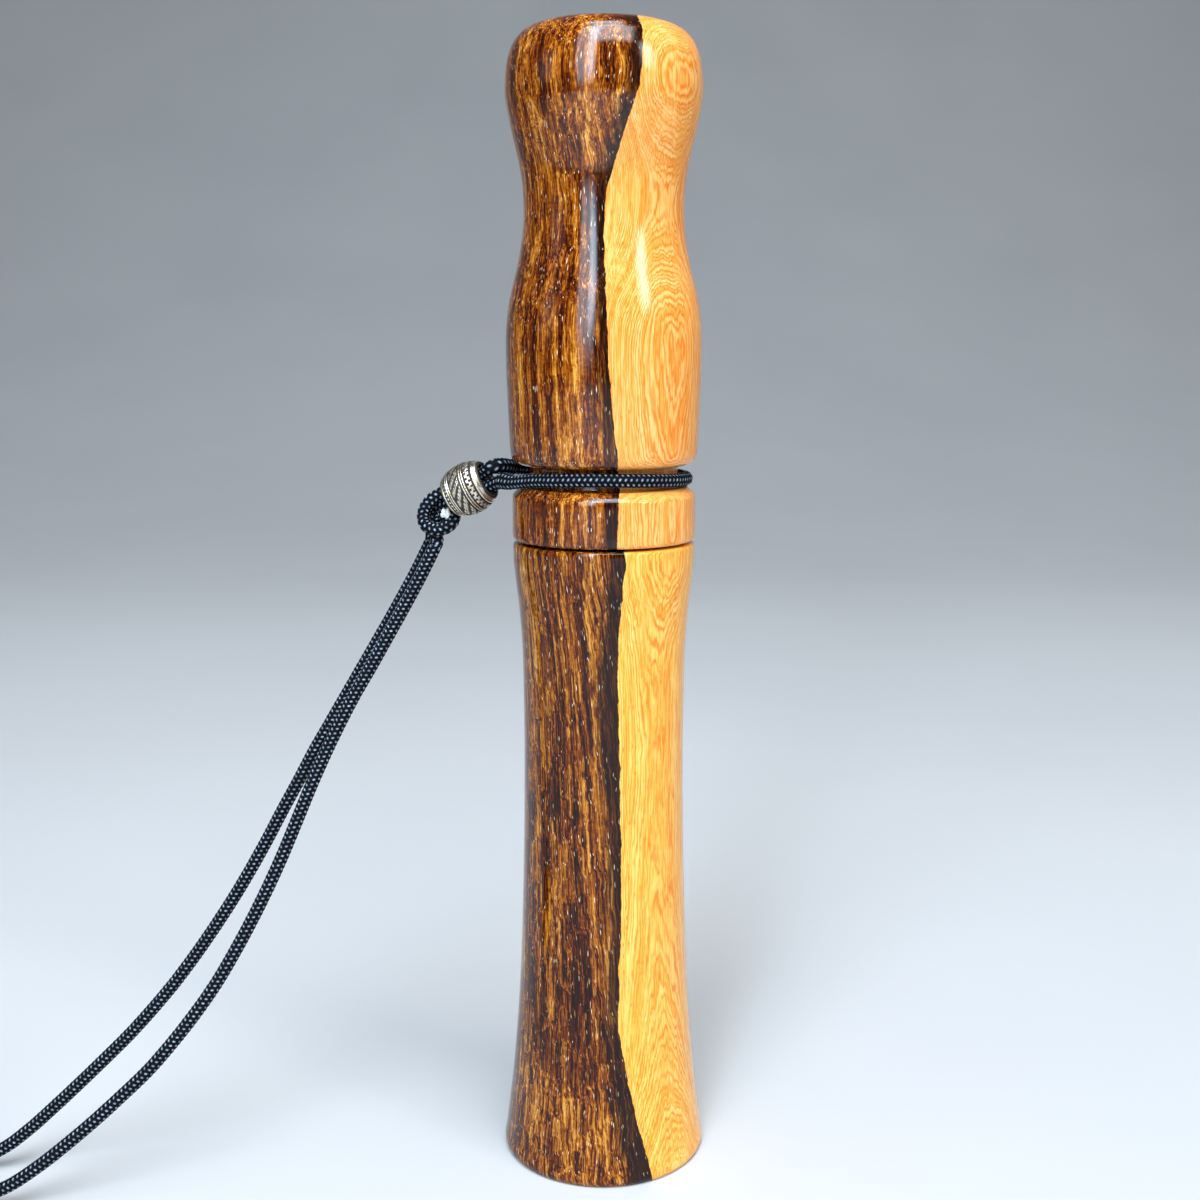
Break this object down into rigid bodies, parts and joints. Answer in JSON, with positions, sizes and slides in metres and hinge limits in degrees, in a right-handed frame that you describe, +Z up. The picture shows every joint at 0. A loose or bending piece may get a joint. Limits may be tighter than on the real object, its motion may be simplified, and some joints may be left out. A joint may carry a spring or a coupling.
{
  "type": "grunt call",
  "caption": "Turned wooden deer grunt call that stands on its flared bell, with a reed assembly inside and a braided neck lanyard held in a groove by a metal bead.",
  "frame": {"origin": "centre of the bell's flat foot, on the plane that the call stands on", "axes": "+Z up along the call's axis towards the mouth hole, -Y towards the side with the reed, -X towards the lanyard"},
  "size_m": [0.1549, 0.0469, 0.1729],
  "materials": {
    "barrel_wood": "high gloss lacquer over two-tone heartwood and sapwood",
    "bell_wood": "high gloss lacquer over two-tone heartwood and sapwood",
    "o_ring": "satin",
    "toneboard": "moulded acetal",
    "reed": "frosted polyester film",
    "wedge": "fine agglomerated cork",
    "band": "matte",
    "cord": "round braided nylon",
    "bead": "cast pewter with a darkened relief pattern"
  },
  "bodies": {
    "exhaust_bell": {"exhaust_bell": "bell_wood", "tenon_o_ring_lower": "o_ring", "tenon_o_ring_upper": "o_ring", "lanyard_coil": "cord"},
    "lanyard": {"lanyard_collar": "cord", "lanyard_knot": "cord", "lanyard_strand_a": "cord", "lanyard_strand_b": "cord"},
    "mouthpiece_barrel": {"mouthpiece_barrel": "barrel_wood"},
    "lanyard_bead": {"lanyard_bead": "bead"},
    "toneboard": {"toneboard": "toneboard", "toneboard_o_ring_lower": "o_ring", "toneboard_o_ring_upper": "o_ring", "reed_wedge": "wedge"},
    "reed": {"reed": "reed"},
    "tuning_band": {"tuning_band": "band"}
  },
  "joints": [
    {"name": "barrel_pull", "type": "slide", "parent": "exhaust_bell", "child": "lanyard", "axis": [0, 0, 1], "range_m": [0, 0.054]},
    {"name": "barrel_twist", "type": "hinge", "parent": "lanyard", "child": "mouthpiece_barrel", "pos_m": [0, 0, 0.108], "axis": [0, 0, 1], "continuous": true},
    {"name": "bead_slide", "type": "slide", "parent": "lanyard", "child": "lanyard_bead", "axis": [0.8599, -0.25, 0.445], "range_m": [0, 0.0012]},
    {"name": "toneboard_pull", "type": "slide", "parent": "exhaust_bell", "child": "toneboard", "axis": [0, 0, 1], "range_m": [0, 0.012]},
    {"name": "reed_flex", "type": "hinge", "parent": "toneboard", "child": "reed", "pos_m": [0, -0.00133, 0.1182], "axis": [1, 0, 0], "range_deg": [-1.4, 0.7], "stiffness_Nm_per_rad": 0.01},
    {"name": "band_slide", "type": "slide", "parent": "toneboard", "child": "tuning_band", "axis": [0, 0, 1], "range_m": [0, 0.014]}
  ]
}
